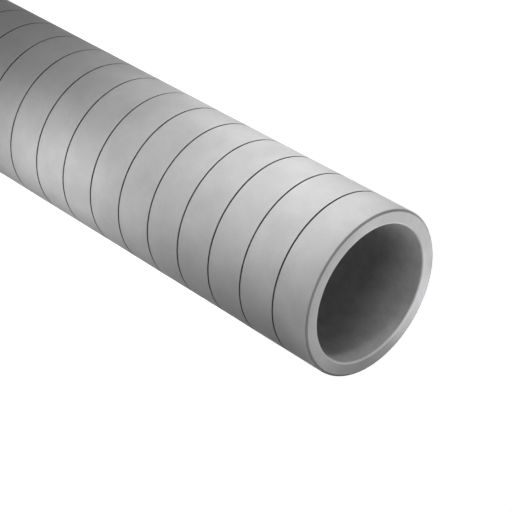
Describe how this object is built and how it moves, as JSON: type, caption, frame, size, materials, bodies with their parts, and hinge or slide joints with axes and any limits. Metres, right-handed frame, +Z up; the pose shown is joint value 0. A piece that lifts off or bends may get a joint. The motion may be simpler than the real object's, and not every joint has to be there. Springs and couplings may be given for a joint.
{
  "type": "insulated air duct",
  "caption": "Straight round air duct of rigid light-grey foam, thick-walled, with a plain bore, rounded end edges and narrow ring grooves round the outside as cutting marks.",
  "frame": {"origin": "centre of the lower end, on the bore's axis, at the level the duct stands on", "axes": "+Z up along the bore, with the duct standing on its lower end; X and Y are alike"},
  "size_m": [0.194, 0.194, 1],
  "materials": {
    "foam": "light-grey closed-cell polyethylene foam with a fine satin skin"
  },
  "bodies": {
    "root": {"foam_duct": "foam"}
  },
  "joints": []
}
